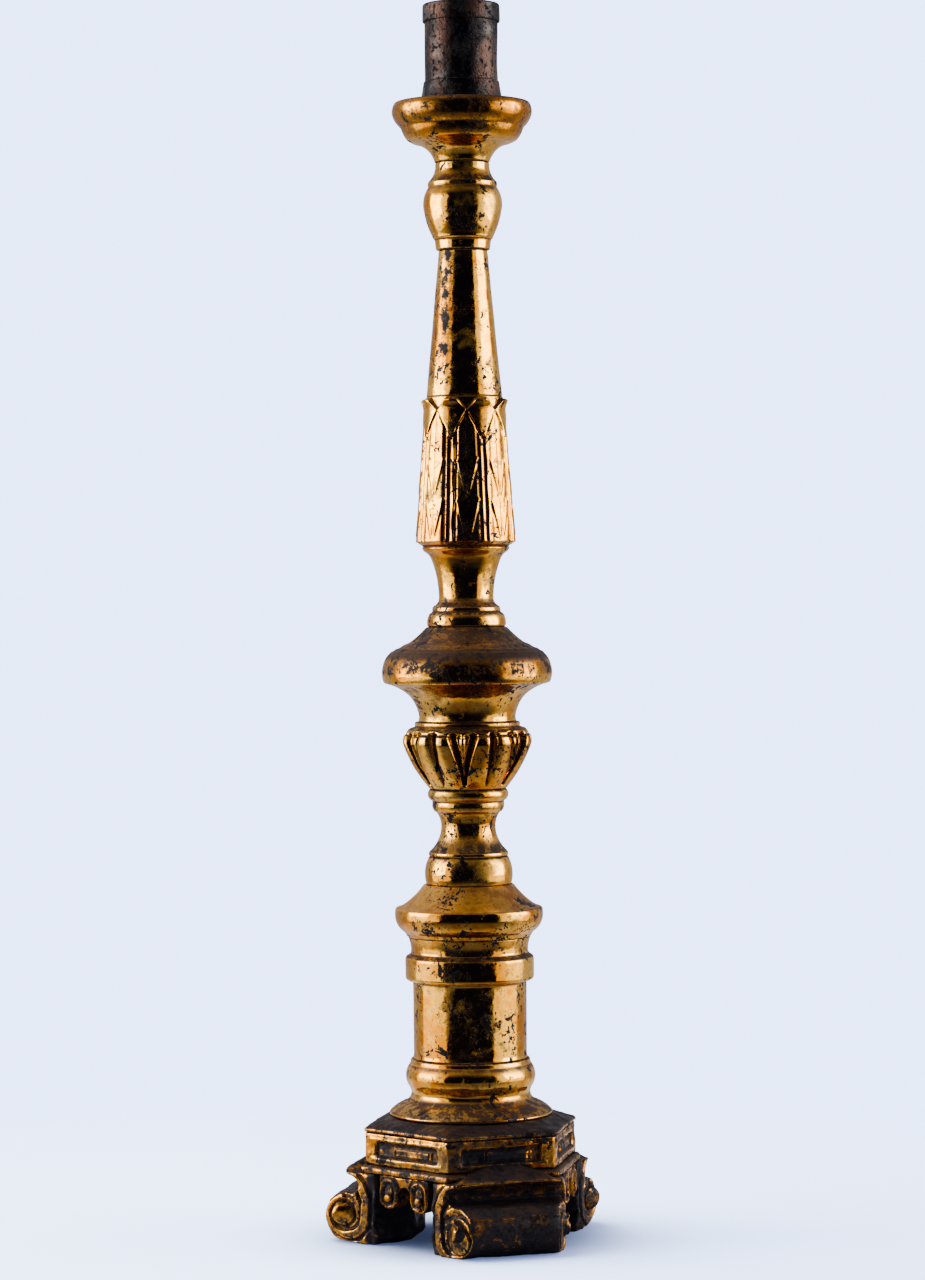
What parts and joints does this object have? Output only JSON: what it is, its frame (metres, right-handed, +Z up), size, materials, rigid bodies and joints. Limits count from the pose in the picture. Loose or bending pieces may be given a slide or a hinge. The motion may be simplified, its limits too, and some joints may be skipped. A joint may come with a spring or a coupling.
{
  "type": "altar candlestick",
  "caption": "Tall turned and carved giltwood altar candlestick: scroll feet under a hexagonal plinth, banded column, petal cup, leaf-carved shaft, drip pan and a lift-off metal candle socket.",
  "frame": {"origin": "on the turning axis at floor level, midway between the three feet", "axes": "+Z up along the turning axis; the front scroll foot points along -Y; +X is to the right seen from the front foot"},
  "size_m": [0.182, 0.1625, 0.78],
  "materials": {
    "gilded_wood": "burnished gold leaf over red clay, rubbed and chipped",
    "dark_gilding": "worn gold leaf under dark brown dirt, gold left on raised edges",
    "bare_wood": "bare aged wood",
    "socket_metal": "dark brown patinated sheet metal, satin",
    "iron": "forged iron, dull and slightly rusty"
  },
  "bodies": {
    "stand": {"foot_front": "dark_gilding", "foot_left": "dark_gilding", "foot_right": "dark_gilding", "foot_dowels": "bare_wood", "apron_left": "dark_gilding", "apron_right": "dark_gilding", "apron_rear": "dark_gilding", "plinth_base": "dark_gilding", "plinth_block": "dark_gilding", "plinth_cap": "dark_gilding", "column_base": "gilded_wood", "column_drum": "gilded_wood", "column_cap": "gilded_wood", "baluster_ring": "gilded_wood", "baluster_neck": "gilded_wood", "gadrooned_cup": "gilded_wood", "disc_cap": "gilded_wood", "leaf_shaft": "gilded_wood", "tapered_shaft": "gilded_wood", "upper_knop": "gilded_wood", "drip_pan": "gilded_wood", "pricket": "iron", "pricket_plate": "iron"},
    "candle_socket_unit": {"socket_tube": "socket_metal", "socket_rim_band": "socket_metal", "socket_foot_ring": "socket_metal", "socket_floor": "socket_metal", "socket_sleeve": "socket_metal"}
  },
  "joints": [
    {"name": "socket_lift", "type": "slide", "parent": "stand", "child": "candle_socket_unit", "axis": [0, 0, 1], "range_m": [0, 0.08]}
  ]
}
